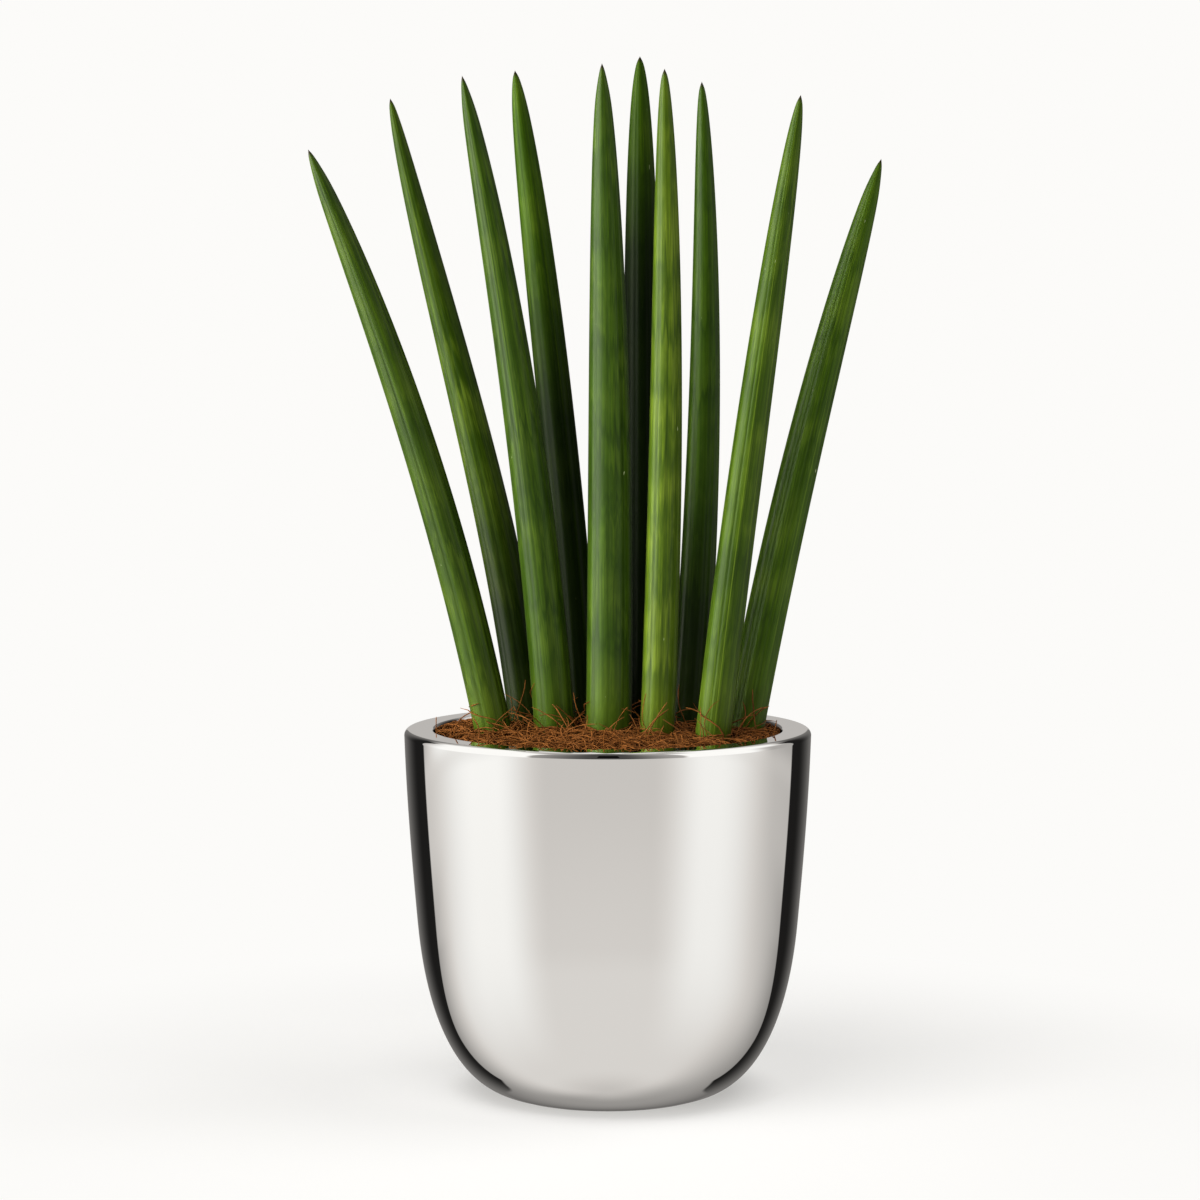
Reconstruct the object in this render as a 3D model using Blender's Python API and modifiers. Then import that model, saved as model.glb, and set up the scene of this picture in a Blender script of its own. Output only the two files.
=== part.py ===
"""A cylindrical snake plant in a round-bottomed pot.

Metres, +Z up, -Y the front. The origin is the centre of the pot's flat foot, on the surface it stands on.
Ten grooved leaves stand in plain holes in the soil, with a mat of coconut fibre round them.
"""

import math
import random
from collections import namedtuple

import bmesh
import bpy
from mathutils import Vector, geometry, noise

MM = 0.001
GAP = 0.0003  # left between pieces that touch
MERGE = 0.0001
WELD = 0.00001

# The pot: a turned vessel with a flat-topped lip, a bowl-shaped bottom and a small flat foot
POT_RADIUS = 0.100
POT_HEIGHT = 0.1810
LIP_WIDTH = 0.0146
LIP_OUTER_ROUND = 0.003
LIP_INNER_ROUND = 0.002
LIP_LEAN = 0.031  # outward run for each unit of rise, at the lip
BELLY_HEIGHT = 0.085  # where the bowl meets the straighter upper wall
BELLY_RADIUS = 0.09373
BELLY_LEAN = 0.0905
BOWL_DROP = 0.062  # how far down the belly's slope draws the bowl
FOOT_RADIUS = 0.0488
FOOT_EDGE = 0.0010  # the worn edge round the foot
FOOT_SPREAD = 0.0168  # how far out the foot's slope draws the bowl
FOOT_SLOPE = math.radians(10.4)
WALL_AT_BELLY = 0.0106
FLOOR_THICKNESS = 0.014
FLOOR_RADIUS = 0.040
FLOOR_SPREAD = 0.022
INNER_DROP = 0.055
INNER_DRAFT = 0.073  # as a lean, at the inner side of the belly
TURNED_STEPS = 48
UPPER_BANDS = 4
BOWL_BANDS = 9
INNER_BANDS = 6
LIP_BANDS = (3, 4)  # inner, outer

# What fills it
SOIL_TOP = 0.1665
COIR_EDGE = 0.1750  # height of the mat where it meets the pot
COIR_MOUND = 0.0035  # extra height in the middle
COIR_RELIEF = 0.0012
COIR_SLACK = 0.00045  # between the mat and the wall
COIR_LUMP = 0.011  # size of the bumps in the mat
COIR_RINGS = 6

# The leaves
LEAF_LEVEL = 0.1774  # height at which a leaf's foot is given
LEAF_PLANTED = 0.056  # how far a leaf goes on below that
PLANTED_END = ((1.0, 0.45), (0.95, 0.72), (0.84, 0.9), (0.5, 1.0))  # shares of that depth and thickness
TIP_RADIUS = 0.0004
SECTION_RADIUS = 0.010  # the grooved section's own size, which each point of a leaf scales
GROOVES = 8
GROOVE_DEPTH = 0.05  # share of the radius
GROOVE_STRAY = 0.18  # how unevenly the grooves are spaced, as a share of one rib
GROOVE_PHASE = 2.4
STATIONS = 11  # sections from the tip down to the coir
STATION_CROWDING = 2.1  # above 1, the sections crowd towards the tip
TAPER_ROOT = 0.49
HOLE_SIDES = 24
HOLE_ABOVE = 0.030  # how far a hole's cutter stands above the leaf's foot

# Each leaf in millimetres: its foot (x, y), its tip (x, y, z), how far its middle bows off the straight line
# (x, y), its thickness, and its fullness: the higher, the longer it stays thick towards the tip. A skew
# below 0 puts the bow nearer the foot
Leaf = namedtuple("Leaf", "foot tip bow thickness fullness skew", defaults=[0])
LEAVES = (
    Leaf((-55.4, -4), (-145.1, -12, 463.5), (8.3, 0), 18.3, 2.85),
    Leaf((-38.2, 24), (-108.7, 55, 490.5), (4.3, -2), 20.6, 1.46, -0.96),
    Leaf((-25.5, -8), (-70.2, -25, 498.4), (5.8, 1), 20.2, 2.1),
    Leaf((-11.7, 22), (-46.3, 50, 504.1), (2.8, -2), 18.6, 3.3),
    Leaf((0.4, -12), (-3.0, -35, 503.9), (1.9, 1), 22.5, 2.15),
    Leaf((16.5, 26), (16.1, 58, 511.5), (0.8, -2), 19.5, 3.6),
    Leaf((24.0, -20), (26.8, -45, 500.9), (2.6, 1), 16.9, 2.65),
    Leaf((39.4, 18), (46.5, 42, 498.3), (5.0, -1), 18.1, 2.0),
    Leaf((50.5, -30), (91.4, -52, 488.2), (-1.7, 1), 17.2, 2.6),
    Leaf((66.6, 5), (134.2, 14, 459.6), (-4.0, 0), 19.9, 2.55),
)

# The loose strands of coir, thicker than life so that they hold together
STRANDS = 58
STRAND_RADIUS = 0.0007
STRAND_POINTS = 5
STRAND_LENGTH = (0.018, 0.048)
STRAND_SPREAD = 0.95  # share of the mouth they are scattered over
STRAND_SCATTER = 0.008
STRAND_BEND = 0.5  # share of half a strand's length, to either side
STRAND_LEAN = 0.5  # how far an arch may lean towards one end
STRAND_RISE = (0.0015, 0.0045)
TALL_STRAND_EVERY = 7
TALL_STRAND_RISE = 0.011
STRAND_SUNK = 0.0016
STRAND_CLEARANCE = 0.0012
STRAND_TRIES = 60
SEED = 12

COLOURS = {
    "pot": ((0.86, 0.86, 0.87), 0.04, 1.0),
    "soil": ((0.030, 0.018, 0.011), 0.95, 0.0),
    "coir": ((0.26, 0.095, 0.035), 0.85, 0.0),
    "leaf": ((0.055, 0.145, 0.028), 0.38, 0.0),
}


def clear_scene():
    for obj in list(bpy.data.objects):
        bpy.data.objects.remove(obj)


def new_collection(name):
    collection = bpy.data.collections.new(name)
    bpy.context.scene.collection.children.link(collection)
    return collection


def material(name):
    colour, roughness, metallic = COLOURS[name]
    made = bpy.data.materials.get(name) or bpy.data.materials.new(name)
    made.use_nodes = True
    shader = made.node_tree.nodes["Principled BSDF"]
    shader.inputs["Base Color"].default_value = (*colour, 1)
    shader.inputs["Roughness"].default_value = roughness
    shader.inputs["Metallic"].default_value = metallic
    return made


def helper(obj, collection):
    """Keeps a cutter or guide out of the model."""
    obj.hide_render = True
    obj.display_type = "WIRE"
    for old in list(obj.users_collection):
        old.objects.unlink(obj)
    collection.objects.link(obj)


# Turned shapes


def arc(centre, radius, start, end, steps):
    """Points (r, z) on a quarter or other part of a circle, from one angle in degrees to another."""
    angles = [math.radians(start + (end - start) * i / steps) for i in range(steps + 1)]
    return [(centre[0] + radius * math.cos(a), centre[1] + radius * math.sin(a)) for a in angles]


def swept(start, start_pull, end_pull, end, steps):
    """Points (r, z) on a smooth curve between two places, drawn out by a pull at each."""
    corners = [Vector((x, z, 0)) for x, z in (start, start_pull, end_pull, end)]
    return [(p.x, p.y) for p in geometry.interpolate_bezier(*corners, steps + 1)]


def outside_profile():
    """The pot's outer side from the lip down to the foot."""
    shoulder = (POT_RADIUS, POT_HEIGHT - LIP_OUTER_ROUND)
    belly = (BELLY_RADIUS, BELLY_HEIGHT)
    rise = (shoulder[1] - BELLY_HEIGHT) / 3
    upper = swept(
        shoulder,
        (POT_RADIUS - LIP_LEAN * rise, shoulder[1] - rise),
        (BELLY_RADIUS + BELLY_LEAN * rise, BELLY_HEIGHT + rise),
        belly,
        UPPER_BANDS,
    )
    foot = (FOOT_RADIUS + FOOT_EDGE, FOOT_EDGE / 2)
    bowl = swept(
        belly,
        (BELLY_RADIUS - BELLY_LEAN * BOWL_DROP, BELLY_HEIGHT - BOWL_DROP),
        (foot[0] + FOOT_SPREAD * math.cos(FOOT_SLOPE), foot[1] + FOOT_SPREAD * math.sin(FOOT_SLOPE)),
        foot,
        BOWL_BANDS,
    )
    return upper + bowl[1:] + [(FOOT_RADIUS, 0)]


def inside_profile(gap=0):
    """The pot's inner side from the middle of its floor to the belly, or a filling's side a gap inside it."""
    floor = FLOOR_THICKNESS + gap
    wall = BELLY_RADIUS - WALL_AT_BELLY - gap
    bowl = swept(
        (FLOOR_RADIUS, floor),
        (FLOOR_RADIUS + FLOOR_SPREAD, floor),
        (wall - INNER_DRAFT * INNER_DROP, BELLY_HEIGHT - INNER_DROP),
        (wall, BELLY_HEIGHT),
        INNER_BANDS,
    )
    return [(0, floor)] + bowl


def mouth_radius(height):
    """The inner wall's radius above the belly, where it widens evenly to the lip."""
    mouth = POT_RADIUS - LIP_WIDTH
    belly = BELLY_RADIUS - WALL_AT_BELLY
    share = (height - BELLY_HEIGHT) / (POT_HEIGHT - LIP_INNER_ROUND - BELLY_HEIGHT)
    return belly + (mouth - belly) * share


def pot_profile():
    """The pot's whole section, from the middle of its inner floor over the lip to the middle of its foot."""
    inner = (POT_RADIUS - LIP_WIDTH + LIP_INNER_ROUND, POT_HEIGHT - LIP_INNER_ROUND)
    outer = (POT_RADIUS - LIP_OUTER_ROUND, POT_HEIGHT - LIP_OUTER_ROUND)
    inner_lip = arc(inner, LIP_INNER_ROUND, 180, 90, LIP_BANDS[0])
    outer_lip = arc(outer, LIP_OUTER_ROUND, 90, 0, LIP_BANDS[1])
    return inside_profile() + inner_lip + outer_lip + outside_profile()[1:] + [(0, 0)]


def turned(name, profile, collection):
    """A solid of revolution about Z, from its outline in the XZ plane."""
    outline = bmesh.new()
    corners = [outline.verts.new((r, 0, z)) for r, z in profile]
    for a, b in zip(corners, corners[1:]):
        outline.edges.new((a, b))
    mesh = bpy.data.meshes.new(name)
    outline.to_mesh(mesh)
    outline.free()
    obj = bpy.data.objects.new(name, mesh)
    collection.objects.link(obj)
    screw = obj.modifiers.new("Turn", "SCREW")
    screw.steps = screw.render_steps = TURNED_STEPS
    screw.use_merge_vertices = True
    screw.merge_threshold = MERGE
    screw.use_smooth_shade = True
    return obj


def as_mesh(obj, collection):
    """The object as Blender evaluates it, made a plain mesh with its loose ends welded."""
    bpy.context.view_layer.update()
    mesh = bpy.data.meshes.new_from_object(obj.evaluated_get(bpy.context.evaluated_depsgraph_get()))
    shape = bmesh.new()
    shape.from_mesh(mesh)
    bmesh.ops.remove_doubles(shape, verts=shape.verts, dist=WELD)
    shape.to_mesh(mesh)
    shape.free()
    name, place = obj.name, obj.matrix_world.copy()
    bpy.data.objects.remove(obj)
    made = bpy.data.objects.new(name, mesh)
    made.matrix_world = place
    collection.objects.link(made)
    return made


def subtract(obj, cutters):
    cut = obj.modifiers.new("Leaf holes", "BOOLEAN")
    cut.operation = "DIFFERENCE"
    cut.operand_type = "COLLECTION"
    cut.collection = cutters
    cut.solver = "EXACT"


# Leaves


def leaf_centre(leaf, rise):
    """The middle of a leaf, with rise 0 at the coir and 1 at the tip. Below the coir it runs on straight."""
    foot = Vector((*leaf.foot, LEAF_LEVEL / MM))
    tip = Vector(leaf.tip)
    bow = Vector((*leaf.bow, 0))
    if rise > 0:
        slack = 4 * rise * (1 - rise) * (1 + leaf.skew * (2 * rise - 1))
    else:
        slack = 4 * rise * (1 - leaf.skew)
    return (foot + (tip - foot) * rise + bow * slack) * MM


def leaf_radius(leaf, rise):
    """Full at the coir, and rounding in ever faster to the tip."""
    full = leaf.thickness / 2 * MM
    return max(TIP_RADIUS, full * (1 - rise**leaf.fullness) ** TAPER_ROOT)


def leaf_stations(leaf):
    """Centres and radii from the rounded foot in the soil up to the tip."""
    height = leaf.tip[2] * MM - LEAF_LEVEL
    full = leaf.thickness / 2 * MM
    rows = [(leaf_centre(leaf, -LEAF_PLANTED * depth / height), full * share) for depth, share in PLANTED_END]
    for i in range(STATIONS + 1):
        rise = 1 - ((STATIONS - i) / STATIONS) ** STATION_CROWDING
        rows.append((leaf_centre(leaf, rise), leaf_radius(leaf, rise)))
    return rows


def grooved_section(helpers):
    """A closed outline with a shallow groove between each two ribs, unevenly spaced.

    It runs clockwise, so that the leaf's sides face out.
    """
    curve = bpy.data.curves.new("Leaf section", "CURVE")
    curve.dimensions = "2D"
    outline = curve.splines.new("POLY")
    outline.points.add(3 * GROOVES - 1)
    outline.use_cyclic_u = True
    starts = [k + GROOVE_STRAY * math.sin(GROOVE_PHASE * k) for k in range(GROOVES)] + [GROOVES]
    for k, (start, end) in enumerate(zip(starts, starts[1:])):
        for part in range(3):
            angle = (start + (end - start) * part / 3) * math.tau / GROOVES
            radius = SECTION_RADIUS * (1 - GROOVE_DEPTH if part == 0 else 1)
            outline.points[3 * k + part].co = (radius * math.cos(angle), -radius * math.sin(angle), 0, 1)
    section = bpy.data.objects.new("Leaf section", curve)
    helper(section, helpers)
    return section


def make_leaf(number, leaf, section, collection):
    name = f"leaf_{number:02d}"
    curve = bpy.data.curves.new(name, "CURVE")
    curve.dimensions = "3D"
    curve.bevel_mode = "OBJECT"
    curve.bevel_object = section
    curve.use_fill_caps = True
    curve.resolution_u = 1
    curve.materials.append(material("leaf"))
    rows = leaf_stations(leaf)
    line = curve.splines.new("POLY")
    line.points.add(len(rows) - 1)
    for point, (centre, radius) in zip(line.points, rows):
        point.co = (*centre, 1)
        point.radius = radius / SECTION_RADIUS
        point.tilt = number
    line.use_smooth = True
    obj = bpy.data.objects.new(name, curve)
    collection.objects.link(obj)
    return obj


def leaf_hole(number, leaf, cutters):
    """A plain round hole along the leaf's foot, open at the top of the coir."""
    height = leaf.tip[2] * MM - LEAF_LEVEL
    bottom = leaf_centre(leaf, -LEAF_PLANTED / height)
    axis = (leaf_centre(leaf, 0) - bottom).normalized()
    radius = leaf.thickness / 2 * MM / math.cos(math.pi / HOLE_SIDES) + GAP
    start = bottom - axis * GAP
    length = LEAF_PLANTED + HOLE_ABOVE
    bpy.ops.mesh.primitive_cylinder_add(
        vertices=HOLE_SIDES,
        radius=radius,
        depth=length,
        location=start + axis * length / 2,
        rotation=Vector((0, 0, 1)).rotation_difference(axis).to_euler(),
    )
    hole = bpy.context.object
    hole.name = f"Leaf hole {number:02d}"
    helper(hole, cutters)


# Coir


def coir_height(x, y):
    """The mat's top before any relief: a low mound."""
    share = math.hypot(x, y) / mouth_radius(COIR_EDGE)
    return COIR_EDGE + COIR_MOUND * (1 - share**2)


def coir_mat(collection):
    """A disc of packed fibre with an uneven top."""
    edge = mouth_radius(SOIL_TOP) - COIR_SLACK
    radii = [edge * (1 - i / COIR_RINGS) for i in range(COIR_RINGS + 1)]
    profile = [(r, coir_height(r, 0)) for r in reversed(radii)]
    bottom = SOIL_TOP + GAP
    mat = turned("coir", profile + [(edge, bottom), (0, bottom)], collection)
    mat = as_mesh(mat, collection)
    for vertex in mat.data.vertices:
        if vertex.co.z > bottom + GAP:
            vertex.co.z += COIR_RELIEF * noise.noise(vertex.co / COIR_LUMP)
    mat.data.materials.append(material("coir"))
    return mat


def is_clear(point):
    """Whether a strand may pass here: inside the pot's mouth and off every leaf."""
    room = STRAND_RADIUS + STRAND_CLEARANCE
    if math.hypot(point.x, point.y) > mouth_radius(COIR_EDGE) - room:
        return False
    for leaf in LEAVES:
        rise = (point.z - LEAF_LEVEL) / (leaf.tip[2] * MM - LEAF_LEVEL)
        centre = leaf_centre(leaf, rise)
        if (point - centre).length < leaf.thickness / 2 * MM + room:
            return False
    return True


def strand_route(number, chance):
    """An arch with both ends sunk in the mat, turned and bent at random."""
    ring = mouth_radius(COIR_EDGE) * math.sqrt((number + 0.5) / STRANDS)
    around = number * math.pi * (3 - math.sqrt(5))
    middle = Vector((ring * math.cos(around), ring * math.sin(around), 0)) * STRAND_SPREAD
    rise = TALL_STRAND_RISE if number % TALL_STRAND_EVERY == 0 else chance.uniform(*STRAND_RISE)
    middle += Vector((chance.uniform(-1, 1), chance.uniform(-1, 1), 0)) * STRAND_SCATTER
    heading = chance.uniform(0, math.tau)
    along = Vector((math.cos(heading), math.sin(heading), 0)) * chance.uniform(*STRAND_LENGTH) / 2
    across = Vector((-along.y, along.x, 0)) * chance.uniform(-STRAND_BEND, STRAND_BEND)
    lean = chance.uniform(-STRAND_LEAN, STRAND_LEAN)
    route = []
    for i in range(STRAND_POINTS):
        way = 2 * i / (STRAND_POINTS - 1) - 1
        point = middle + along * way + across * (1 - way**2)
        arch = (1 - way**2) * (1 + lean * way)
        point.z = coir_height(point.x, point.y) - STRAND_SUNK + (rise + STRAND_SUNK) * arch
        route.append(point)
    return route


def make_strand(number, route, collection):
    curve = bpy.data.curves.new("Strand", "CURVE")
    curve.dimensions = "3D"
    curve.bevel_depth = STRAND_RADIUS
    curve.bevel_resolution = 0
    curve.use_fill_caps = True
    curve.resolution_u = 1
    line = curve.splines.new("POLY")
    line.points.add(len(route) - 1)
    for point, place in zip(line.points, route):
        point.co = (*place, 1)
    obj = bpy.data.objects.new(f"Strand {number:02d}", curve)
    collection.objects.link(obj)
    return as_mesh(obj, collection)


def make_strands(collection):
    chance = random.Random(SEED)
    for number in range(STRANDS):
        for _ in range(STRAND_TRIES):
            route = strand_route(number, chance)
            if all(is_clear(point) for point in route):
                make_strand(number, route, collection)
                break


def make_coir(collection, cutters):
    """The mat and its strands, fused into one piece and cut round the leaves."""
    mat = coir_mat(collection)
    strands = new_collection("Coir strands")
    make_strands(strands)
    fuse = mat.modifiers.new("Fuse strands", "BOOLEAN")
    fuse.operation = "UNION"
    fuse.operand_type = "COLLECTION"
    fuse.collection = strands
    fuse.solver = "EXACT"
    coir = as_mesh(mat, collection)
    for strand in list(strands.objects):
        bpy.data.objects.remove(strand)
    bpy.data.collections.remove(strands)
    subtract(coir, cutters)
    return coir


def make_pot(collection):
    pot = turned("pot", pot_profile(), collection)
    pot.data.materials.append(material("pot"))
    return pot


def make_soil(collection, cutters):
    side = mouth_radius(SOIL_TOP) - GAP
    soil = turned("soil", [(0, SOIL_TOP), (side, SOIL_TOP)] + inside_profile(GAP)[::-1], collection)
    soil.data.materials.append(material("soil"))
    subtract(soil, cutters)
    return soil


def main():
    clear_scene()
    plant = new_collection("Cylindrical snake plant")
    helpers = new_collection("Guides")
    cutters = new_collection("Leaf holes")
    section = grooved_section(helpers)
    for number, leaf in enumerate(LEAVES, start=1):
        make_leaf(number, leaf, section, plant)
        leaf_hole(number, leaf, cutters)
    make_pot(plant)
    make_soil(plant, cutters)
    make_coir(plant, cutters)


main()
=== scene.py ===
"""A cylindrical snake plant in a mirror-bright pot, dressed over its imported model.

Metres, +Z up, seen from -Y. Finer pieces replace the plain solids of the leaves, the pot and the coir.
"""

import math
import random
from collections import namedtuple

import bmesh
import bpy
import numpy
from bpy.props import FloatProperty, FloatVectorProperty, IntProperty, PointerProperty
from mathutils import Matrix, Vector, geometry, noise


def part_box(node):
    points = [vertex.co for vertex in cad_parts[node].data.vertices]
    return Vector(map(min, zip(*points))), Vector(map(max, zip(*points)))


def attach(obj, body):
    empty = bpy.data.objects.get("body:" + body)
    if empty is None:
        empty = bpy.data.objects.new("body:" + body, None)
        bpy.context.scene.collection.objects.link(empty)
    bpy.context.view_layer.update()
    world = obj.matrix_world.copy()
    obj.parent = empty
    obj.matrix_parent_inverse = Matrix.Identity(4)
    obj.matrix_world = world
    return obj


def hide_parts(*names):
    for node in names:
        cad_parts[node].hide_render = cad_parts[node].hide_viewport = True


bl_info = {
    "name": "Cylindrical Snake Plant",
    "version": (1, 0, 0),
    "blender": (4, 5, 0),
    "location": "View3D > Sidebar > Snake Plant",
    "description": "Adds a potted cylindrical snake plant, its coir mulch and a plain studio",
    "category": "Add Mesh",
}

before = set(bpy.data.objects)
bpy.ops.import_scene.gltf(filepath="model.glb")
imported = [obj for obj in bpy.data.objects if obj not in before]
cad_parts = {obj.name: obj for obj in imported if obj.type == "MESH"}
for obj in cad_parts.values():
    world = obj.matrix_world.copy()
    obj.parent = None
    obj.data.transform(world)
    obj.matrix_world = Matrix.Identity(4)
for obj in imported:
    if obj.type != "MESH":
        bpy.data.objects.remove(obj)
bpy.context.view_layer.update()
POT_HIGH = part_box("pot")[1]
COIR_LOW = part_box("coir")[0].z

MM = 0.001
MERGE = 0.00001
BODY = "root"
LEAVES = sorted(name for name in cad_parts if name.startswith("leaf_"))

# The pot's outline, as the solid has it
POT_RADIUS = POT_HIGH.x
LIP_HEIGHT = POT_HIGH.z
LIP_LEAN = 0.031
BELLY_HEIGHT = 0.085
BELLY_RADIUS = 0.09373
BELLY_LEAN = 0.0905
BOWL_DROP = 0.062
FOOT_RADIUS = 0.0488
FOOT_EDGE = 0.0010
FOOT_SPREAD = 0.0168
FOOT_SLOPE = math.radians(10.4)
WALL_AT_BELLY = 0.0106
FLOOR_THICKNESS = 0.014
FLOOR_RADIUS = 0.040
FLOOR_SPREAD = 0.022
INNER_DROP = 0.055
INNER_DRAFT = 0.073
CURVE_BANDS = 36
KEPT_FLAT = 0.0003  # from a rounded edge to the ring that keeps the shading of the surface beside it true
ROUND_BANDS = 16

# Where the leaves come out of the coir, and how the solids' sections relate to their radius
PLANTING_LEVEL = LIP_HEIGHT - 0.0036
SECTION_AREA = 3.0023  # of a grooved section, for a radius of 1
TAPER_ROOT = 0.49
SLICES = (0.02, 0.12, 0.25, 0.38, 0.5, 0.62, 0.72, 0.809, 0.88, 0.94)  # where each solid is measured
TAPER_SLICE = 7  # the one that sets how soon the leaf tapers
SPINE_LENGTH = 0.0014  # how soon the tip narrows to a hard point
PINCH_LENGTH = 0.0110  # how far down from the tip a leaf is slimmer than an even taper
PLANTED_SQUARENESS = 12  # how suddenly the planted foot rounds off at its lower end

# How each leaf differs: its lightness and yellowness, the strength of its pale blotches and its pinstripes,
# how much slimmer its tip is than an even taper, how strong the painted shade on its lower part is (for the
# shade of the leaves in front) and how far up it reaches, and how glossy it is
Look = namedtuple("Look", "light warm blotch stripe pinch dim dim_top gloss")
LOOKS = {
    "leaf_01": Look(0.98, 0.35, 0.55, 0.25, 0.24, 0.00, 0.50, 0.17),
    "leaf_02": Look(1.03, 0.38, 0.80, 0.25, 0.06, 0.84, 0.34, 0.10),
    "leaf_03": Look(0.92, 0.15, 0.42, 0.25, 0.26, 0.00, 0.50, 0.16),
    "leaf_04": Look(1.30, 0.20, 0.45, 0.20, 0.12, 0.87, 0.62, 0.07),
    "leaf_05": Look(0.98, 0.15, 0.55, 0.25, 0.28, 0.00, 0.50, 0.17),
    "leaf_06": Look(1.22, 0.20, 0.30, 0.20, 0.08, 0.95, 0.83, 0.06),
    "leaf_07": Look(1.62, 0.75, 0.50, 0.25, 0.02, 0.00, 0.50, 0.16),
    "leaf_08": Look(1.15, 0.10, 0.25, 0.20, 0.00, 0.75, 0.30, 0.15),
    "leaf_09": Look(1.24, 0.42, 0.35, 0.60, 0.06, 0.00, 0.50, 0.13),
    "leaf_10": Look(1.34, 0.25, 0.45, 0.35, 0.26, 0.00, 0.50, 0.11),
}


# Settings that a user would change


def length_setting(name, description, metres):
    return FloatProperty(name=name, description=description, default=metres, unit="LENGTH")


def colour_setting(name, description, colour):
    return FloatVectorProperty(name=name, description=description, default=colour, subtype="COLOR")


class PotSettings(bpy.types.PropertyGroup):
    lip_width: length_setting("Lip width", "Width of the flat-topped lip", 0.0146)
    outer_round: length_setting("Outer round", "Radius of the lip's outer edge", 0.003)
    inner_round: length_setting("Inner round", "Radius of the lip's inner edge", 0.002)
    sides: IntProperty(name="Sides", description="Facets round the pot", default=240)
    silver: colour_setting("Silver", "Colour of the plating", (0.93, 0.925, 0.915))
    roughness: FloatProperty(name="Roughness", description="Blur of its reflections", default=0.012)


class LeafSettings(bpy.types.PropertyGroup):
    grooves: IntProperty(name="Grooves", description="Lengthwise grooves round a leaf", default=9)
    groove_depth: FloatProperty(
        name="Groove depth", description="Share of the leaf's radius", default=0.02, subtype="FACTOR"
    )
    groove_width: FloatProperty(
        name="Groove width", description="Share of the space from one groove to the next", default=0.13
    )
    rows: IntProperty(name="Rows", description="Sections along a leaf", default=150)
    deep: colour_setting("Deep green", "The skin's darkest green", (0.010, 0.027, 0.0015))
    fresh: colour_setting("Fresh green", "The skin's main green", (0.036, 0.085, 0.0025))
    pale: colour_setting("Pale green", "Blotches and pinstripes", (0.10, 0.17, 0.014))
    spine: colour_setting("Spine", "The hard, dry point", (0.020, 0.013, 0.006))


class CoirSettings(bpy.types.PropertyGroup):
    fibres: IntProperty(name="Fibres", description="Short fibres in the mat", default=2500)
    strays: IntProperty(name="Strays", description="Long fibres that stand out of the mat", default=420)
    thickness: length_setting("Thickness", "Radius of a fibre", 0.00031)
    dark: colour_setting("Dark fibre", "Fibre in the mat", (0.20, 0.070, 0.016))
    red: colour_setting("Red fibre", "Most of the fibre", (0.78, 0.34, 0.080))
    tan: colour_setting("Tan fibre", "Dry loose fibre", (1.0, 0.68, 0.29))


class StageSettings(bpy.types.PropertyGroup):
    distance: length_setting("Camera distance", "In front of the pot", 2.0)
    height: length_setting("Camera height", "Above the floor", 0.41509)
    offset: length_setting("Camera offset", "To the side of the pot's axis", -0.00379)
    pitch: FloatProperty(
        name="Camera pitch", description="Downward tilt", default=0.0853, subtype="ANGLE"
    )
    lens: FloatProperty(name="Lens", description="Focal length in millimetres", default=122.76)
    backdrop: colour_setting("Backdrop", "The pale paper", (0.973, 0.965, 0.947))


# Meshes


def turned(profile, steps):
    """A closed solid of revolution from an outline (r, z) that starts and ends on the axis."""
    shape = bmesh.new()
    points = [shape.verts.new((r, 0, z)) for r, z in profile]
    outline = points + [shape.edges.new(pair) for pair in zip(points, points[1:])]
    bmesh.ops.spin(
        shape, geom=outline, cent=(0, 0, 0), axis=(0, 0, 1), angle=math.tau, steps=steps, use_merge=True
    )
    bmesh.ops.remove_doubles(shape, verts=shape.verts, dist=MERGE)
    bmesh.ops.recalc_face_normals(shape, faces=shape.faces)
    return shape


def piece(name, shape, materials, stands_for):
    """A finished mesh as a piece that rides on the plant's one body."""
    mesh = bpy.data.meshes.new(name)
    shape.to_mesh(mesh)
    shape.free()
    mesh.shade_smooth()
    for material in materials:
        mesh.materials.append(material)
    made = bpy.data.objects.new(name, mesh)
    bpy.context.scene.collection.objects.link(made)
    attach(made, BODY)
    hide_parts(stands_for)


def arc(centre, radius, start, end):
    """Points (r, z) on part of a circle, from one angle in degrees to another."""
    angles = [math.radians(start + (end - start) * i / ROUND_BANDS) for i in range(ROUND_BANDS + 1)]
    return [(centre[0] + radius * math.cos(a), centre[1] + radius * math.sin(a)) for a in angles]


def swept(start, start_pull, end_pull, end):
    """Points (r, z) on a smooth curve between two places, drawn out by a pull at each."""
    corners = [Vector((r, z, 0)) for r, z in (start, start_pull, end_pull, end)]
    return [(p.x, p.y) for p in geometry.interpolate_bezier(*corners, CURVE_BANDS + 1)]


# Shader nodes


def new_material(name, roughness=0.5, metallic=0.0):
    made = bpy.data.materials.new(name)
    made.use_nodes = True
    shader = made.node_tree.nodes["Principled BSDF"]
    shader.inputs["Roughness"].default_value = roughness
    shader.inputs["Metallic"].default_value = metallic
    return made, made.node_tree, shader


def feed(tree, socket, value):
    """Puts a link or a plain value into a socket."""
    if isinstance(value, bpy.types.NodeSocket):
        tree.links.new(value, socket)
    else:
        socket.default_value = value


def node_with(tree, kind, *values, **properties):
    """The outputs of a new node, with links or plain values put into its first sockets."""
    node = tree.nodes.new(kind)
    for name, value in properties.items():
        setattr(node, name, value)
    for socket, value in zip(node.inputs, values):
        feed(tree, socket, value)
    return node.outputs


def math_node(tree, operation, *values):
    return node_with(tree, "ShaderNodeMath", *values, operation=operation)[0]


def step_node(tree, value, low, high, below=0.0, above=1.0):
    """A smooth step from one level to another: the first at low, and the second at high."""
    given = (value, low, high, below, above)
    return node_with(tree, "ShaderNodeMapRange", *given, interpolation_type="SMOOTHSTEP")["Result"]


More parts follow.
